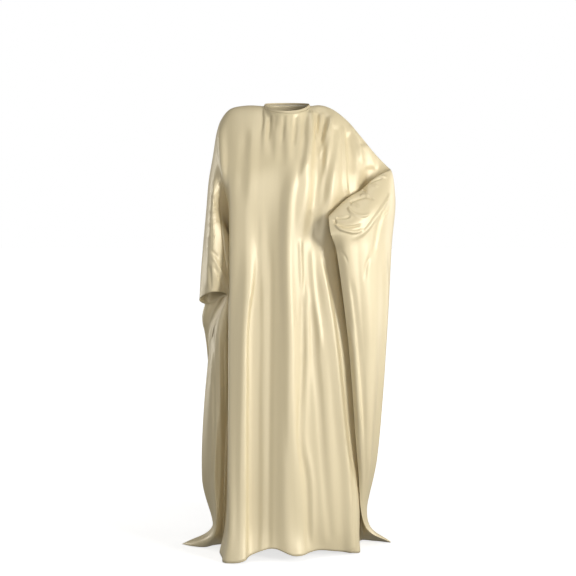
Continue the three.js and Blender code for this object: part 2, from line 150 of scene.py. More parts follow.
floor_mesh = bpy.data.meshes.new("floor")
sides = ((-1, -1), (1, -1), (1, 1), (-1, 1))
floor_mesh.from_pydata([(x * FLOOR_REACH, y * FLOOR_REACH, FLOOR) for x, y in sides], [], [(0, 1, 2, 3)])
floor = bpy.data.objects.new("floor", floor_mesh)
floor.visible_diffuse = False
floor.visible_glossy = False
scene.collection.objects.link(floor)

pale = bpy.data.materials.new("pale floor")
pale.use_nodes = True
pale_nodes, pale_links = pale.node_tree.nodes, pale.node_tree.links
pale_surface = pale_nodes["Principled BSDF"]
pale_surface.inputs["Base Color"].default_value = (0.55, 0.55, 0.55, 1.0)
pale_surface.inputs["Roughness"].default_value = 0.9
pale_surface.inputs["Specular IOR Level"].default_value = 0.0
pale_surface.inputs["Emission Color"].default_value = (1.0, 1.0, 1.0, 1.0)
pale_place = pale_nodes.new("ShaderNodeTexCoord")
pale_distance = pale_nodes.new("ShaderNodeVectorMath")
pale_distance.operation = "LENGTH"
pale_glow = pale_nodes.new("ShaderNodeMapRange")
pale_glow.inputs["From Min"].default_value = NEAR
pale_glow.inputs["From Max"].default_value = FAR
pale_glow.inputs["To Min"].default_value = GLOW_NEAR
pale_glow.inputs["To Max"].default_value = GLOW_FAR
pale_links.new(pale_place.outputs["Object"], pale_distance.inputs[0])
pale_links.new(pale_distance.outputs["Value"], pale_glow.inputs["Value"])
pale_links.new(pale_glow.outputs["Result"], pale_surface.inputs["Emission Strength"])
floor_mesh.materials.append(pale)
print("floor at", FLOOR)

# %% [markdown]
# The form of each panel is held in a short table: a row for each line of the cloth from its top edge down
# to the hem, and a point for each of six levels on it. A real panel is cut flat and falls into folds when
# it is worn; here the rows stand on the ridges and in the valleys of the largest folds. Heights are above
# the floor, in millimetres.

# %% Tables of the panels
THIGH = 690
SHIN = 300
HALF_SPAN = 850  # centre line to cuff edge, on the flat cut
NECK_FLAT = 120  # half of the gathered front neckline, on the flat cut
NECK_HALF_WIDTH = 76
NECK_DEPTH = {"front": 77, "back": 58}
NECK_RISE = {"front": -30, "back": 8}
SEAM_Y = 5  # the neck points lie this far behind the origin
SIDE = {"front": -1, "back": 1}
EDGE_CORNER = 2  # level where the cuff ends and the side seam begins

# Over-arm seams from the neck point to the cuff: x, y, height.
HANGING_ARM_SEAM = [
  (-76, 5, 1462), (-135, 8, 1464), (-188, 8, 1452), (-217, 6, 1417), (-231, 4, 1377), (-244, 2, 1298),
  (-257, 0, 1219), (-265, -6, 1120), (-274, -14, 1021), (-282, -22, 920), (-287, -28, 823),
]
BENT_ARM_SEAM = [
  (76, 5, 1462), (110, 8, 1465), (146, 8, 1454), (196, 8, 1417), (248, 8, 1357), (294, 8, 1300),
  (326, 3, 1266), (338, -14, 1252), (326, -36, 1244), (302, -48, 1233), (272, -58, 1212), (242, -70, 1184),
  (204, -88, 1162), (166, -110, 1130), (134, -130, 1098),
]

# Side seams from the cuff corner to the hem, at the five levels lower, thigh, shin, ankle and hem.
HANGING_SIDE_SEAM = [(-194, -38, 838), (-242, -8, 725), (-281, 14, 232), (-251, 35, 54), (-352, 63, 2)]
BENT_SIDE_SEAM = [(157, -142, 990), (197, -114), (229, -86), (259, -8, 76), (349, 83, 2)]

# flat, upper, lower, thigh, shin, ankle, hem
FRONT_LINES = [
  (-850, (-244, -80, 853), *HANGING_SIDE_SEAM),
  (-770, (-243, -90, 920), (-194, -54, 860), (-226, -50, 740), (-258, -26), (-246, 0, 62), (-316, 30, 3)),
  (-670, (-245, -92, 990), (-192, -60, 920), (-202, -44), (-237, -44), (-236, -24, 62), (-272, 18, 3)),
  (-570, (-244, -92, 1090), (-191, -60, 1040), (-190, -30), (-217, -24), (-223, -10, 66), (-244, 40, 4)),
  (-470, (-237, -88, 1185), (-178, 8, 1010), (-179, -10), (-203, -2), (-210, 8, 76), (-216, 46, 5)),
  (-380, (-218, -84, 1245), (-156, 0, 1000), (-168, -36), (-190, -46), (-204, -40, 80), (-220, -44, 4)),
  (-310, (-208, -96, 1265), (-176, -60, 1000), (-180, -76), (-189, -98), (-196, -108, 85), (-208, -118, 3)),
  (-245, (-186, -105, 1265), (-184, -106, 1000), (-187, -112), (-185, -146), (-185, -168, 90),
    (-197, -182, 3)),
  (-180, (-140, -116, 1265), (-134, -118, 1000), (-143, -125), (-150, -148), (-150, -164, 95),
    (-146, -184, 5)),
  (-120, (-88, -119, 1265), (-90, -112, 1000), (-100, -118), (-106, -136), (-108, -146, 95),
    (-106, -158, 24)),
  (-40, (-30, -122, 1265), (-38, -117, 1000), (-42, -124), (-46, -141), (-46, -147, 95), (-44, -152, 40)),
  (40, (27, -126, 1265), (15, -124, 1000), (10, -132), (10, -146), (14, -150, 95), (26, -160, 18)),
  (120, (86, -106, 1262), (78, -104, 1000), (78, -115), (86, -118), (90, -118, 95), (100, -108, 24)),
  (185, (132, -98, 1255), (122, -94, 1000), (132, -106), (146, -104), (152, -98, 90), (160, -86, 16)),
  (255, (186, -78, 1225), (158, -76, 1030), (178, -92), (209, -80), (226, -70, 85), (233, -58, 3)),
  (330, (232, -50, 1195), (190, -36, 1010), (204, -70), (232, -54), (236, -34, 90), (238, 14, 4)),
  (410, (262, -12, 1185), (250, 6, 1010), (250, -18), (252, -2), (243, 34, 80), (242, 84, 4)),
  (510, (285, -8, 1180), (318, 0, 1010), (316, 6), (280, 24), (250, 62, 76), (256, 112, 4)),
  (580, (278, -34, 1150), (300, -24, 1010), (302, -24), (278, 0), (254, 54, 76), (272, 108, 4)),
  (645, (250, -50, 1130), (262, -46, 1010), (272, -48), (265, -24), (253, 36, 76), (290, 100, 4)),
  (710, (222, -66, 1098), (218, -72, 1005), (240, -70), (250, -46), (253, 22, 76), (309, 94, 4)),
  (780, (188, -84, 1068), (182, -94, 1000), (214, -92), (238, -68), (256, 6, 76), (329, 88, 3)),
  (850, (151, -98, 1044), *BENT_SIDE_SEAM),
]

# flat, upper, lower, thigh, shin, ankle, hem
BACK_LINES = [
  (-850, (-261, 8, 808), *HANGING_SIDE_SEAM),
  (-770, (-262, 22, 898), (-214, 38, 866), (-255, 37, 735), (-262, 44), (-250, 60, 62), (-332, 98, 3)),
  (-670, (-252, 44, 985), (-260, 60, 848), (-276, 62, 722), (-250, 74), (-243, 88, 66), (-294, 128, 3)),
  (-570, (-244, 50, 1088), (-234, 62, 930), (-228, 78), (-236, 98), (-234, 112, 72), (-258, 150, 4)),
  (-470, (-238, 60, 1180), (-212, 76, 1000), (-206, 92), (-217, 118), (-219, 134, 80), (-228, 164, 4)),
  (-380, (-224, 76, 1240), (-194, 90, 1010), (-190, 104), (-198, 136), (-201, 154, 85), (-205, 178, 4)),
  (-310, (-200, 91, 1260), (-166, 104, 1005), (-166, 118), (-172, 150), (-175, 170, 90), (-178, 194, 4)),
  (-210, (-142, 100, 1265), (-120, 111, 1000), (-122, 127), (-126, 161), (-128, 183, 90), (-130, 207, 4)),
  (-120, (-80, 104, 1270), (-70, 115, 1000), (-72, 133), (-74, 169), (-75, 193, 90), (-76, 217, 4)),
  (0, (0, 105, 1270), (0, 118, 1000), (0, 136), (0, 174), (0, 198, 90), (0, 222, 4)),
  (120, (80, 104, 1268), (74, 115, 1000), (74, 133), (74, 169), (74, 193, 90), (74, 217, 4)),
  (210, (146, 99, 1252), (134, 111, 1000), (132, 127), (130, 161), (130, 183, 90), (130, 207, 4)),
  (300, (216, 86, 1225), (196, 104, 1000), (192, 116), (184, 146), (180, 164, 90), (184, 190, 4)),
  (410, (296, 66, 1195), (272, 82, 1000), (262, 90), (236, 114), (222, 134, 95), (238, 168, 4)),
  (460, (332, 44, 1180), (322, 58, 1000), (312, 62), (270, 82), (246, 106, 100), (268, 157, 4)),
  (510, (356, -6, 1165), (344, 8, 1000), (328, 12), (297, 34), (262, 90, 80), (293, 146, 4)),
  (580, (334, -78, 1145), (332, -66, 1000), (318, -56), (294, -12), (268, 74, 78), (314, 134, 4)),
  (645, (278, -126, 1120), (282, -114, 1000), (288, -98), (274, -56), (272, 50, 76), (331, 122, 4)),
  (710, (224, -154, 1085), (230, -146, 1000), (250, -122), (257, -84), (272, 28, 76), (342, 108, 4)),
  (780, (176, -166, 1060), (186, -158, 995), (218, -128), (241, -93), (268, 8, 76), (348, 95, 3)),
  (850, (138, -164, 1044), *BENT_SIDE_SEAM),
]
print("lines:", len(FRONT_LINES), "front,", len(BACK_LINES), "back")

# %% [markdown]
# All curves here are centripetal Catmull-Rom splines: they go through their points and do not loop where
# points lie close together. The same formula serves for curves down a line and across the lines, for
# whole arrays at once.


# %% Splines
def between(a, b, c, d, share):
    """Centripetal Catmull-Rom from b, at share 0, to c, at share 1. Each knot is the one before plus the
    square root of the distance, and the point is the pyramid of straight mixes between the knots."""
    pairs = ((a, b), (b, c), (c, d))
    step = [np.maximum(np.sqrt(np.linalg.norm(q - p, axis=-1)), 1e-3) for p, q in pairs]
    t0 = np.zeros_like(step[0])
    t1 = step[0]
    t2 = t1 + step[1]
    t3 = t2 + step[2]
    t = t1 + (t2 - t1) * share

    def mix(p, q, s0, s1):
        w = ((t - s0) / (s1 - s0))[..., None]
        return p + (q - p) * w

    ab, bc, cd = mix(a, b, t0, t1), mix(b, c, t1, t2), mix(c, d, t2, t3)
    return mix(mix(ab, bc, t0, t2), mix(bc, cd, t1, t3), t1, t2)


def along(points, places, before=None):
    """Points at the places 0 to n - 1 on curves through points (curves, n, 3). before stands in front of
    the first point; without it the curve starts straight."""
    last = points.shape[1] - 1
    first = 2 * points[:, :1] - points[:, 1:2]
    if before is not None:
        has = ~np.isnan(before[:, :1])
        first = np.where(has, before, first[:, 0])[:, None]
    end = 2 * points[:, -1:] - points[:, -2:-1]
    padded = np.concatenate([first, points, end], axis=1)
    i = np.minimum(np.floor(places).astype(int), last - 1)
    share = np.broadcast_to(places - i, (len(points), len(places)))
    return between(padded[:, i], padded[:, i + 1], padded[:, i + 2], padded[:, i + 3], share)


def seam_curve(rows):
    """A seam as a curve of even speed: dense points and the share of the length at each."""
    points = np.array(rows, float)[None]
    dense = along(points, np.linspace(0, points.shape[1] - 1, 4001))[0]
    length = np.concatenate([[0], np.cumsum(np.linalg.norm(np.diff(dense, axis=0), axis=1))])
    return dense, length / length[-1]


def on_seam(curve, share):
    """The seam's points at shares of its length."""
    dense, lengths = curve
    return np.stack([np.interp(share, lengths, dense[:, k]) for k in range(3)], axis=-1)


hanging_arm_seam = seam_curve(HANGING_ARM_SEAM)
bent_arm_seam = seam_curve(BENT_ARM_SEAM)


def top_edge(flat, name):
    """The top edge of a panel: the neckline, an arc of a half ellipse, and beyond it the over-arm seams."""
    flat = np.asarray(flat, float)
    share = np.clip((np.abs(flat) - NECK_FLAT) / (HALF_SPAN - NECK_FLAT), 0, 1)
    seam = np.where((flat < 0)[..., None], on_seam(hanging_arm_seam, share), on_seam(bent_arm_seam, share))
    turn = flat / NECK_FLAT * np.pi / 2
    neckline = np.stack(
        [
            NECK_HALF_WIDTH * np.sin(turn),
            SEAM_Y + SIDE[name] * NECK_DEPTH[name] * np.cos(turn),
            NECK_POINT * 1000 + NECK_RISE[name] * np.cos(turn),
        ],
        axis=-1,
    )
    return np.where((np.abs(flat) >= NECK_FLAT)[..., None], seam, neckline)


print("arm seams end at", hanging_arm_seam[0][-1], bent_arm_seam[0][-1])

# %% [markdown]
# The net of a panel has the top edge as its first point and the table's six points below it. Over the
# arm, where front and back are sewn together, each panel looks at the other one's upper point, so that
# the cloth runs smoothly over the seam as a sleeve does.


# %% Nets and smooth forms
def net_of(lines, name):
    """flat places (n) and control points (n, 7, 3)."""
    flats = np.array([row[0] for row in lines], float)
    heights = (None, None, THIGH, SHIN, None, None)
    points = np.array([[(*p, h)[:3] for p, h in zip(row[1:], heights)] for row in lines], float)
    return flats, np.concatenate([top_edge(flats, name)[:, None], points], axis=1)


NETS = {"front": net_of(FRONT_LINES, "front"), "back": net_of(BACK_LINES, "back")}
OTHER = {"front": "back", "back": "front"}


def across_seam(name):
    """The other panel's upper points at this panel's flat places; none (nan) at the neckline."""
    flats, _ = NETS[name]
    other_flats, other = NETS[OTHER[name]]
    upper = np.stack([np.interp(flats, other_flats, other[:, 1, k]) for k in range(3)], axis=-1)
    upper[np.abs(flats) < NECK_FLAT] = np.nan
    return upper


def smooth(x):
    """An ease from 0 to 1: three times x squared less two times x cubed."""
    x = np.clip(x, 0, 1)
    return x * x * (3 - 2 * x)


def base_form(name, flat, levels):
    """The smooth form at all flat places and levels: curves down every line of the net, then curves across
    them. Down to the upper level the top edge is corrected to its exact line."""
    flats, points = NETS[name]
    before = across_seam(name)
    lines = along(points, levels, before)
    seam = levels >= EDGE_CORNER
    for edge in (0, -1):
        cuffs = (points[edge, 1] + before[edge]) / 2
        rest = along(points[edge : edge + 1 or None, EDGE_CORNER:], levels[seam] - EDGE_CORNER, cuffs[None])
        lines[edge, seam] = rest[0]

    i = np.clip(np.searchsorted(flats, flat, side="right") - 1, 0, len(flats) - 2)
    share = (flat - flats[i]) / (flats[i + 1] - flats[i])

    def across(rows):
        padded = np.concatenate([2 * rows[:1] - rows[1:2], rows, 2 * rows[-1:] - rows[-2:-1]])
        s = np.broadcast_to(share[:, None], (len(flat), rows.shape[1]))
        return between(padded[i], padded[i + 1], padded[i + 2], padded[i + 3], s)

    form = across(lines)
    slip = top_edge(flat, name) - across(points[:, :1])[:, 0]
    fade = np.where(levels < 1, 1 - smooth(levels), 0)
    return form + slip[:, None] * fade[None, :, None]


# %% [markdown]
# Folds are added on the smooth form, moved out along its normal. A fold is a soft ridge or trough that
# runs from one place on the cut to another. The long folds of the skirt start at the chest and run to the
# hem; the short ones are gathers under the neckline and creases that spread from the shoulder, the elbow
# and the cuff.

# %% Tables of the folds
# Long folds. top and bottom are places on the cut, width is half the breadth, from and to are levels.
# top, bottom, width, depth, from, to
FRONT_FOLDS = [
    (-66, -70, 36, -5, 0.02, 1.0),
    (-18, -20, 36, -5, 0.02, 1.1),
    (30, 32, 36, -5, 0.02, 1.1),
    (78, 84, 36, -5, 0.02, 1.0),
    (120, 70, 46, 8, 0.1, 2.0),
    (160, 120, 46, -9, 0.1, 2.0),
    (205, 200, 50, 9, 0.1, 1.9),
    (262, 285, 54, -8, 0.15, 1.6),
    (30, 24, 64, 5, 0.8, 6.6),
    (-75, -90, 60, -4, 0.9, 6.6),
    (90, 66, 54, -4, 2.0, 6.6),
    (175, 170, 56, 5, 2.2, 6.6),
    (-165, -170, 44, 4, 1.2, 6.6),
    (-270, -345, 60, 7, 0.1, 1.7),
]
# top, bottom, width, depth, from, to
BACK_FOLDS = [
    (-60, -70, 90, -10, 0.5, 6.6),
    (10, 14, 80, 10, 0.3, 6.6),
    (82, 92, 84, -11, 0.4, 6.6),
    (160, 168, 84, 11, 0.5, 6.6),
    (245, 250, 90, -12, 0.5, 6.6),
    (340, 335, 90, 11, 0.6, 6.6),
    (-150, -150, 84, 10, 0.5, 6.6),
    (-235, -235, 84, -11, 0.5, 6.6),
    (-330, -330, 90, 10, 0.8, 6.6),
    (-690, -670, 90, 11, 1.7, 3.2),
    (-700, -680, 130, -11, 2.9, 4.3),
    (560, 615, 60, -7, 0.5, 5.0),
    (660, 690, 60, 7, 1.2, 5.0),
]

# Hanging folds of the front, placed as they are seen from the front. left and right are the breadths of the
# two flanks, and depth is the height of a ridge (a trough is negative). fade_top and fade_bottom are the
# lengths over which it begins and ends, and the path gives x and height from its top to its bottom.
# left, right, depth, fade_top, fade_bottom, path
HANGING_FOLDS = [
    # the skirt, from left to right
    (52, 9, 7, 200, 0, ((-102, 1028), (-112, 894), (-130, 765), (-134, 509), (-135, 253), (-135, -9))),
    (9, 40, -4, 200, 0, ((-87, 990), (-97, 894), (-119, 765), (-120, 509), (-120, 253), (-120, -9))),
    (14, 18, 2, 120, 40, ((-80, 1150), (-80, 1022), (-75, 765), (-77, 509), (-77, 252), (-80, -4))),
    (14, 14, -2, 120, 40, ((-51, 1022), (-51, 765), (-54, 509), (-58, -4))),
    (
        34, 22, 6, 110, 0,
        ((42, 1284), (22, 1213), (10, 1149), (3, 1022), (5, 894), (13, 766), (19, 638), (19, 511),
         (26, 383), (38, 255), (51, 0)),
    ),
    (12, 10, -3.5, 90, 60, ((51, 926), (51, 766), (51, 638), (45, 510), (38, 382), (64, 254), (70, 31))),
    (10, 14, 3.5, 90, 60, ((64, 894), (67, 702), (61, 510), (58, 382), (77, 254), (83, 31))),
    (
        20, 22, -4.5, 120, 60,
        ((61, 861), (80, 765), (90, 637), (103, 509), (112, 381), (122, 252), (141, 28)),
    ),
    (
        32, 14, 9, 120, 0,
        ((100, 989), (122, 893), (145, 764), (161, 636), (173, 507), (186, 379), (199, 250),
         (209, 25)),
    ),
    (12, 12, 4, 60, 90, ((77, 1002), (87, 861), (103, 733), (112, 636))),
    # the hip, where the cloth is pressed in and spreads below
    (40, 40, -7, 60, 60, ((93, 1124), (87, 1060), (83, 989))),
    (9, 9, 4, 26, 60, ((42, 1028), (45, 925), (54, 797))),
    # gathers under the neckline
    (7, 7, -1.5, 12, 26, ((-74, 1432), (-78, 1403), (-87, 1364))),
    (7, 7, -4, 12, 40, ((-55, 1432), (-57, 1400), (-65, 1325))),
    (7, 7, -2.5, 12, 26, ((-37, 1432), (-39, 1410), (-42, 1371))),
    (7, 8, -5, 12, 40, ((-10, 1429), (-13, 1386), (-19, 1325))),
    (7, 7, -2, 12, 30, ((11, 1429), (10, 1403), (10, 1364))),
    (8, 8, -5, 12, 40, ((31, 1432), (27, 1377), (19, 1312))),
    (7, 7, -2, 12, 30, ((50, 1439), (52, 1390), (52, 1345))),
    # ridges that fall from the shoulder to the chest
    (12, 30, 9, 16, 70, ((74, 1447), (70, 1412), (66, 1334), (58, 1280), (40, 1199))),
    (9, 10, -7, 14, 30, ((97, 1442), (95, 1403), (90, 1367), (88, 1340))),
    (9, 12, 6, 16, 40, ((113, 1445), (111, 1422), (106, 1371), (100, 1335))),
    (10, 12, -5, 16, 60, ((126, 1429), (115, 1361), (117, 1296), (113, 1215))),
    (10, 12, 6, 16, 40, ((144, 1430), (140, 1404), (120, 1345), (101, 1281))),
    (16, 18, -8, 20, 90, ((159, 1397), (146, 1313), (127, 1216), (114, 1102))),
    (14, 8, 7, 20, 36, ((184, 1398), (189, 1346), (192, 1281), (195, 1200), (202, 1154))),
    (14, 18, -5, 20, 40, ((202, 1379), (212, 1314), (218, 1233))),
    (10, 12, 5, 14, 30, ((206, 1400), (227, 1357), (237, 1312), (245, 1266))),
    (56, 12, 8, 16, 20, ((262, 1345), (280, 1290), (286, 1250))),
    # the chest on the side of the hanging sleeve
    (24, 24, -2.5, 60, 120, ((-132, 1392), (-142, 1279), (-151, 1118))),
    (22, 26, 2.5, 60, 120, ((-113, 1407), (-113, 1279), (-119, 1086))),
]

# The hanging sleeve, seen from the front: a groove beside the chest, the over-arm seam as a thin ridge with
# the short puckers of its stitching, and wrinkles above the cuff.
HANGING_SLEEVE_FOLDS = [
    (
        4, 4, -3.0, 30, 30,
        ((-230, 1260), (-220, 1212), (-217, 1151), (-213, 1099), (-207, 1021), (-200, 963), (-194, 918)),
    ),
    (
        5, 4, 1.8, 30, 20,
        ((-230, 1325), (-233, 1280), (-236, 1228), (-236, 1183), (-239, 1102), (-236, 1021), (-239, 982)),
    ),
    (7, 7, 1.8, 5, 8, ((-249, 1299), (-223, 1312))),
    (6, 7, 1.6, 5, 8, ((-249, 1270), (-223, 1280))),
    (7, 8, 1.9, 5, 8, ((-252, 1228), (-226, 1247))),
    (7, 7, 1.6, 5, 8, ((-255, 1196), (-226, 1209))),
    (8, 7, 2.0, 5, 8, ((-255, 1157), (-223, 1176))),
    (7, 7, -2.2, 5, 8, ((-242, 1157), (-220, 1131))),
    (7, 8, 1.8, 5, 8, ((-259, 1108), (-226, 1121))),
    (7, 8, 2.0, 5, 8, ((-259, 1070), (-223, 1086))),
    (7, 8, 1.6, 5, 8, ((-262, 1028), (-226, 1047))),
    (8, 7, -2.6, 6, 8, ((-246, 989), (-220, 963))),
    (8, 8, 2.2, 8, 20, ((-242, 969), (-220, 934), (-197, 889))),
    (7, 8, -2.0, 10, 16, ((-236, 937), (-220, 905), (-204, 863))),
    (12, 12, 2.2, 30, 20, ((-259, 1047), (-255, 957), (-259, 866))),
    (8, 8, -1.8, 12, 14, ((-252, 944), (-246, 892), (-246, 856))),
    # the drape below the cuff
    (9, 9, -3, 60, 90, ((-243, 760), (-240, 600), (-238, 400), (-246, 200))),
    (8, 10, 3, 60, 90, ((-222, 740), (-220, 500), (-219, 300), (-228, 90))),
    (7, 7, -2.5, 60, 90, ((-206, 700), (-204, 500), (-204, 300))),
]

# The bent sleeve, seen from the front: arcs that hang between elbow and cuff, the pinched cloth along the
# seam of the lower sleeve, and soft streaks down the drape.
BENT_SLEEVE_FOLDS = [
    (
        9, 12, 5.0, 30, 60,
        ((338, 1177), (319, 1144), (299, 1115), (278, 1089), (258, 1063), (232, 1038), (200, 1022)),
    ),
    (16, 12, -5.0, 40, 60, ((342, 1145), (319, 1118), (298, 1079), (285, 1028), (272, 977), (259, 951))),
    (8, 9, 5.5, 10, 26, ((152, 1079), (165, 1060), (187, 1051), (219, 1047), (249, 1060))),
    (8, 6, -5.0, 6, 30, ((150, 1089), (158, 1073), (184, 1066), (219, 1066), (245, 1076))),
    (6, 6, -5.0, 6, 10, ((156, 1092), (181, 1092), (204, 1098))),
    (7, 8, 5.0, 8, 16, ((195, 1127), (204, 1111), (223, 1101), (248, 1098), (265, 1108))),
    (6, 7, 4.2, 8, 12, ((202, 1134), (218, 1134), (233, 1124))),
    (7, 6, -5.5, 6, 16, ((199, 1143), (225, 1153), (254, 1160), (283, 1150))),
    (6, 6, 4.6, 6, 8, ((235, 1163), (251, 1166), (267, 1163))),
    (6, 6, -5.0, 6, 8, ((230, 1183), (246, 1183), (258, 1176))),
    (6, 6, 4.2, 6, 12, ((256, 1196), (275, 1199), (298, 1193))),
    (5, 5, -4.0, 6, 10, ((270, 1209), (289, 1216), (312, 1223))),
    (5, 6, 3.6, 6, 16, ((277, 1223), (303, 1229), (329, 1223))),
    (8, 8, -3.2, 30, 40, ((265, 977), (252, 942), (246, 887))),
    (5, 5, -2.2, 6, 12, ((170, 983), (182, 974), (195, 948))),
    (20, 12, 4.0, 90, 120, ((320, 1037), (325, 956), (331, 824), (325, 627), (316, 461))),
    (10, 16, -3.0, 60, 90, ((201, 910), (224, 734), (240, 541), (251, 345))),
    (14, 14, 3.0, 60, 90, ((199, 765), (215, 669), (228, 508), (241, 378))),
]

# %% [markdown]
# A fold is a height that is added on the smooth form. Where it is drawn as a path, each point of the
# cloth looks for the nearest place on that path: the distance across gives the height by a soft bell, and
# the length run along it eases the fold in and out. Where it is a long fold, its centre is a place on the
# cut that moves evenly from its top to its bottom.

# %% Lifting the cloth
FADE_IN, FADE_OUT = 0.25, 0.35  # shares of a long fold's run


def crease_lift(a, b, folds):
    """The sum of folds drawn as paths in the plane of the coordinates a and b. u is the distance from the
    path as a share of the flank, and the height falls as the square of (1 - u) times (1 + 2 u)."""
    lift = np.zeros_like(a)
    for left, right, depth, fade_top, fade_bottom, path in folds:
        knots = np.array(path, float)[None]
        line = along(knots, np.linspace(0, knots.shape[1] - 1, 4 * knots.shape[1]))[0]
        run = np.concatenate([[0], np.cumsum(np.linalg.norm(np.diff(line, axis=0), axis=1))])
        wide = max(left, right)
        low, high = line.min(axis=0) - wide, line.max(axis=0) + wide
        near = (a > low[0]) & (a < high[0]) & (b > low[1]) & (b < high[1])
        if not near.any():
            continue
        point = np.stack([a[near], b[near]], axis=-1)
        start, step = line[:-1], np.diff(line, axis=0)
        length = np.linalg.norm(step, axis=1)
        reach = point[:, None] - start[None]
        share = np.clip(np.sum(reach * step, axis=-1) / length**2, 0, 1)
        offset = reach - share[..., None] * step
        distance = np.linalg.norm(offset, axis=-1)
        best = np.argmin(distance, axis=1)
        row = np.arange(len(point))
        turn = step[best, 0] * offset[row, best, 1] - step[best, 1] * offset[row, best, 0]
        u = np.clip(distance[row, best] / np.where(turn > 0, right, left), 0, 1)
        place = run[best] + share[row, best] * length[best]
        bell = (1 - u) ** 2 * (1 + 2 * u)
        ends = smooth(place / fade_top)
        if fade_bottom:
            ends *= smooth((run[-1] - place) / fade_bottom)
        lift[near] += depth * bell * ends
    return lift


def fold_lift(folds, flat, levels):
    """The sum of all long folds. Each is a raised cosine across its width, eased in and out on its run."""
    lift = np.zeros((len(flat), len(levels)))
    for top, bottom, width, depth, start, end in folds:
        run = (levels - start) / (end - start)
        rise = smooth(run / FADE_IN) * smooth((1 - run) / FADE_OUT)
        centre = top + (bottom - top) * np.clip(run, 0, 1)
        x = np.clip(np.abs(flat[:, None] - centre[None]) / width, 0, 1)
        lift += depth * rise[None] * (0.5 + 0.5 * np.cos(np.pi * x))
    return lift


def normals_of(grid, side):
    """Outward unit normals of a grid, from the differences between its neighbours."""
    n = np.cross(np.gradient(grid, axis=0), np.gradient(grid, axis=1)) * side
    return n / np.maximum(np.linalg.norm(n, axis=-1, keepdims=True), 1e-9)


# %% [markdown]
# The grid spends its columns where small folds show, and its rows evenly down the cloth. Every kind of
# fold is kept to its own part of the panel by a mask that fades over a few centimetres of the cut,
# because places that look the same from the front can lie on the chest or on the sleeve beside it.

# %% Grids of the panels
ROWS = 215
LEVEL_SHARES = (0.0, 0.19, 0.42, 0.58, 0.83, 0.955, 1.0)  # of the cloth's length, at the levels 0 to 6

# Masks of the folds, in millimetres on the cut.
EDGE_FADE = 60
SEAM_FADE = 12
MASK_FADE = 50
BODY_LEFT = -260
BODY_HEIGHTS = (1150, 1230)  # under and over the bent sleeve
BODY_RIGHT = (300, 560)  # at these heights
HANGING_SLEEVE_EDGE = -430
BENT_SLEEVE_EDGE = 530
BENT_SLEEVE_FADE = 40

# Places on the cut and how many columns each panel spends up to the next place.
COLUMN_STEPS = {
    "front": ((-HALF_SPAN, 66), (-480, 18), (-300, 116), (400, 26), (HALF_SPAN, 0)),
    "back": ((-HALF_SPAN, 50), (-300, 56), (400, 20), (560, 100), (HALF_SPAN, 0)),
}


def column_flats(name):
    """Places of the columns on the cut: close together where small folds show."""
    steps = COLUMN_STEPS[name]
    runs = [np.linspace(a[0], b[0], a[1], endpoint=False) for a, b in zip(steps, steps[1:])]
    return np.concatenate([*runs, [HALF_SPAN]])


def even_levels(count):
    """Levels from 0 to the hem with rows that are about equally far apart on the cloth."""
    return np.interp(np.linspace(0, 1, count), LEVEL_SHARES, np.arange(len(LEVEL_SHARES)))


def panel_grid(name):
    """Points of the middle of the cloth (columns, rows, 3) in millimetres, each column's place on the cut,
    and each point's drop, which is the length of cloth from the top edge down to it."""
    flat = column_flats(name)
    levels = even_levels(ROWS)
    form = base_form(name, flat, levels)
    folds = FRONT_FOLDS if name == "front" else BACK_FOLDS
    edge = smooth((HALF_SPAN - np.abs(flat)) / EDGE_FADE)
    lift = fold_lift(folds, flat, levels) * edge[:, None]
    steps = np.linalg.norm(np.diff(form, axis=1), axis=-1)
    drop = np.concatenate([np.zeros((len(flat), 1)), np.cumsum(steps, axis=1)], axis=1)
    across = np.broadcast_to(flat[:, None], drop.shape)
    if name == "front":
        right = np.interp(form[..., 2], BODY_HEIGHTS, BODY_RIGHT)
        body = smooth((right - across) / MASK_FADE) * smooth((across - BODY_LEFT) / MASK_FADE)
        lift += crease_lift(form[..., 0], form[..., 2], HANGING_FOLDS) * body
        sleeve = smooth((HANGING_SLEEVE_EDGE - across) / MASK_FADE)
        lift += crease_lift(form[..., 0], form[..., 2], HANGING_SLEEVE_FOLDS) * sleeve
    else:
        sleeve = smooth((across - BENT_SLEEVE_EDGE) / BENT_SLEEVE_FADE)
        lift += crease_lift(form[..., 0], form[..., 2], BENT_SLEEVE_FOLDS) * sleeve
    top = smooth(drop / SEAM_FADE)
    cloth = form + normals_of(form, SIDE[name]) * (lift * top)[..., None]
    return cloth, flat, drop


GRIDS = {name: panel_grid(name) for name in ("front", "back")}
print("grids:", {name: grid[0].shape for name, grid in GRIDS.items()})

# %% [markdown]
# The satin is a warm champagne colour. Satin lets its long warp threads float on top, so it is smooth
# with a broad soft highlight and shows the threads only from near. The shader is a glossy cloth with fine
# bumps for the threads and faint streaks along the warp.

# %% Satin
STREAK_SCALE = (140.0, 5.0, 1.0)  # to the metre: across the cloth, down it
THREAD_SCALE = (900.0, 120.0, 1.0)
THREAD_HEIGHT = 0.0004
STREAK_SHADE = 0.95  # the darker streaks have this share of the colour


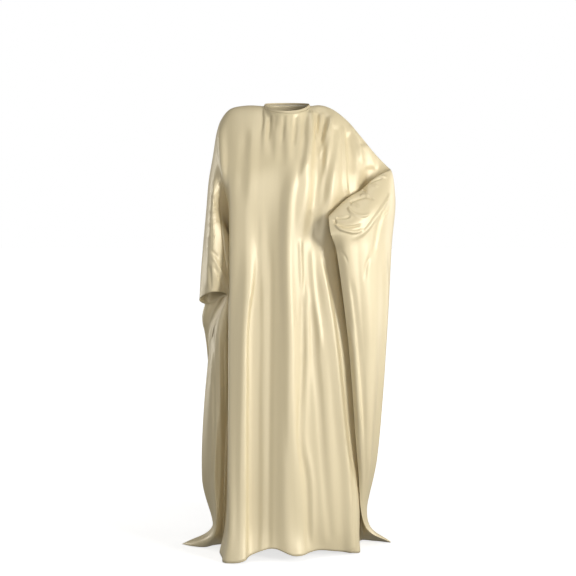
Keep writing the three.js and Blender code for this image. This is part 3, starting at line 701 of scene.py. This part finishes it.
def satin_material(name, colour):
    """Satin in one colour. Streaks and threads lie on the cloth's own map, which is in metres on the cut."""
    material = bpy.data.materials.new(name)
    material.use_nodes = True
    nodes, links = material.node_tree.nodes, material.node_tree.links
    surface = nodes["Principled BSDF"]
    surface.inputs["Metallic"].default_value = 0.1
    surface.inputs["Roughness"].default_value = 0.44
    surface.inputs["Specular IOR Level"].default_value = 0.9
    place = nodes.new("ShaderNodeUVMap")
    place.uv_map = "cut"

    streak_scale = nodes.new("ShaderNodeMapping")
    streak_scale.inputs["Scale"].default_value = STREAK_SCALE
    streaks = nodes.new("ShaderNodeTexNoise")
    streaks.inputs["Scale"].default_value = 1.0
    streaks.inputs["Detail"].default_value = 3.0
    links.new(place.outputs[0], streak_scale.inputs["Vector"])
    links.new(streak_scale.outputs[0], streaks.inputs["Vector"])

    ramp = nodes.new("ShaderNodeMix")
    ramp.data_type = "RGBA"
    dark = tuple(c * STREAK_SHADE for c in colour)
    ramp.inputs["A"].default_value = (*dark, 1.0)
    ramp.inputs["B"].default_value = (*colour, 1.0)
    links.new(streaks.outputs["Fac"], ramp.inputs["Factor"])
    links.new(ramp.outputs["Result"], surface.inputs["Base Color"])

    thread_scale = nodes.new("ShaderNodeMapping")
    thread_scale.inputs["Scale"].default_value = THREAD_SCALE
    threads = nodes.new("ShaderNodeTexNoise")
    threads.inputs["Scale"].default_value = 1.0
    threads.inputs["Detail"].default_value = 2.0
    links.new(place.outputs[0], thread_scale.inputs["Vector"])
    links.new(thread_scale.outputs[0], threads.inputs["Vector"])
    bump = nodes.new("ShaderNodeBump")
    bump.inputs["Strength"].default_value = 0.35
    bump.inputs["Distance"].default_value = THREAD_HEIGHT
    links.new(threads.outputs["Fac"], bump.inputs["Height"])
    links.new(bump.outputs[0], surface.inputs["Normal"])
    return material


champagne = satin_material("champagne satin", (0.75, 0.645, 0.418))
binding_satin = satin_material("binding satin", (0.73, 0.625, 0.408))
print("materials:", champagne.name, binding_satin.name)

# %% [markdown]
# A panel becomes one mesh from its grid. It gets its flat cut as a map, its faces point outwards, and the
# Solidify modifier gives it a wall. Real satin is thinner than this wall, but its edges are turned, and
# they are what shows the thickness.

# %% Panels
SATIN_WALL = 0.0008


def cloth_mesh(name, grid, flat, drop, side):
    """Quads over the grid, with the map named cut: u is the place on the cut and v the drop, in metres."""
    columns, rows = grid.shape[:2]
    points = grid.reshape(-1, 3) / 1000 - np.array([0, 0, NECK_POINT])
    corner = (np.arange(columns - 1)[:, None] * rows + np.arange(rows - 1)[None]).ravel()
    around = [corner, corner + rows, corner + rows + 1, corner + 1]
    if side < 0:
        around = around[::-1]
    quads = np.stack(around, axis=1)
    mesh = bpy.data.meshes.new(name)
    mesh.vertices.add(len(points))
    mesh.vertices.foreach_set("co", points.astype(np.float32).ravel())
    mesh.loops.add(quads.size)
    mesh.loops.foreach_set("vertex_index", quads.astype(np.int32).ravel())
    mesh.polygons.add(len(quads))
    mesh.polygons.foreach_set("loop_start", np.arange(0, quads.size, 4, dtype=np.int32))
    mesh.polygons.foreach_set("use_smooth", np.ones(len(quads), bool))
    mesh.update()
    mesh.validate()
    cut = np.stack([np.broadcast_to(flat[:, None], (columns, rows)), -drop], axis=-1).reshape(-1, 2) / 1000
    uv = mesh.uv_layers.new(name="cut")
    uv.data.foreach_set("uv", cut[quads.ravel()].astype(np.float32).ravel())
    return mesh


def panel(name):
    """One panel with its satin and its wall, as an object at the origin."""
    grid, flat, drop = GRIDS[name]
    mesh = cloth_mesh(name + "_cloth", grid, flat, drop, SIDE[name])
    mesh.materials.append(champagne)
    piece = bpy.data.objects.new(name + "_cloth", mesh)
    scene.collection.objects.link(piece)
    wall = piece.modifiers.new("wall", "SOLIDIFY")
    wall.thickness = SATIN_WALL
    wall.offset = 0.0
    return piece


front = panel("front")
back = panel("back")
for piece, node in ((front, "front_panel"), (back, "back_panel")):
    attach(piece, "root")
    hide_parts(node)
    print(piece.name, "faces:", len(piece.data.polygons))

# %% [markdown]
# The neckline is finished with a narrow strip, folded in half lengthwise over the edge of the panels. Its
# section is an upside-down U: the outer leg, the fold on top and the inner leg.

# %% Section of the binding
BINDING_LEG = 7.4
BINDING_GAP = 1.5  # between the legs
BINDING_FOOT = 0.9  # the legs end this far over the neckline
UP, LEAN = 0.9, 0.45  # the strip stands up and leans inwards by these shares


def neck_line(around):
    """The closed neckline as points: along the front from one neck point to the other, and along the back
    to where it began."""
    turn = np.linspace(0, 1, around, endpoint=False)
    flat = np.where(turn < 0.5, turn * 4 - 1, 3 - turn * 4) * NECK_FLAT
    flat = np.clip(flat, -NECK_FLAT + 1e-6, NECK_FLAT - 1e-6)
    return np.where((turn < 0.5)[:, None], top_edge(flat, "front"), top_edge(flat, "back"))


def binding_grid(around=176, section=21):
    """The folded strip: for every point of the neckline, a U that stands on it upside down. Its legs are
    straight and its top is half a circle. w is the place across the strip, in millimetres from the fold."""
    line = neck_line(around)
    tangent = np.roll(line, -1, axis=0) - np.roll(line, 1, axis=0)
    tangent /= np.linalg.norm(tangent, axis=1, keepdims=True)
    inward = np.stack([-line[:, 0], SEAM_Y - line[:, 1], np.zeros(around)], axis=1)
    inward /= np.linalg.norm(inward, axis=1, keepdims=True)
    rise = np.array([0, 0, UP]) + LEAN * inward
    rise -= tangent * np.sum(rise * tangent, axis=1, keepdims=True)
    rise /= np.linalg.norm(rise, axis=1, keepdims=True)
    across = np.cross(rise, tangent)
    across *= np.sign(np.sum(across * -inward, axis=1, keepdims=True))
    radius = BINDING_GAP / 2
    half = np.pi / 2 * radius
    w = np.linspace(-half - BINDING_LEG, half + BINDING_LEG, section)
    angle = np.clip(w / radius, -np.pi / 2, np.pi / 2)
    out = -radius * np.sin(angle)
    high = radius * np.cos(angle) - np.maximum(np.abs(w) - half, 0) + BINDING_LEG + BINDING_FOOT
    grid = line[:, None] + across[:, None] * out[None, :, None] + rise[:, None] * high[None, :, None]
    return grid, w


strip_points, strip_across = binding_grid()
print("binding section:", len(strip_across), "points")

# %% [markdown]
# The strip is a closed ring of quads: the last section joins the first. Its map runs along the neckline
# and across the strip, so that the satin's threads turn with it.

# %% Neck binding
STRIP_STEP = 0.0027  # metres of strip between two sections
BINDING_WALL = 0.0005

count, section = strip_points.shape[:2]
binding_points = strip_points.reshape(-1, 3) / 1000 - np.array([0, 0, NECK_POINT])
i, k = np.meshgrid(np.arange(count), np.arange(section - 1), indexing="ij")
after = (i + 1) % count
here, there = i * section + k, after * section + k
quads = np.stack([here, here + 1, there + 1, there], axis=-1).reshape(-1, 4)
binding_mesh = bpy.data.meshes.new("neck_binding_strip")
binding_mesh.from_pydata(binding_points.tolist(), [], quads.tolist())
binding_mesh.polygons.foreach_set("use_smooth", np.ones(len(quads), bool))
length = np.broadcast_to(np.arange(count)[:, None] * STRIP_STEP, (count, section))
cut = np.stack([length, np.broadcast_to(strip_across / 1000, (count, section))], axis=-1).reshape(-1, 2)
binding_map = binding_mesh.uv_layers.new(name="cut")
binding_map.data.foreach_set("uv", cut[quads.ravel()].astype(np.float32).ravel())
binding_mesh.materials.append(binding_satin)
binding = bpy.data.objects.new("neck_binding_strip", binding_mesh)
scene.collection.objects.link(binding)
binding_wall = binding.modifiers.new("wall", "SOLIDIFY")
binding_wall.thickness = BINDING_WALL
binding_wall.offset = 0.0
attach(binding, "root")
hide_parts("neck_binding")
print("binding faces:", len(quads))
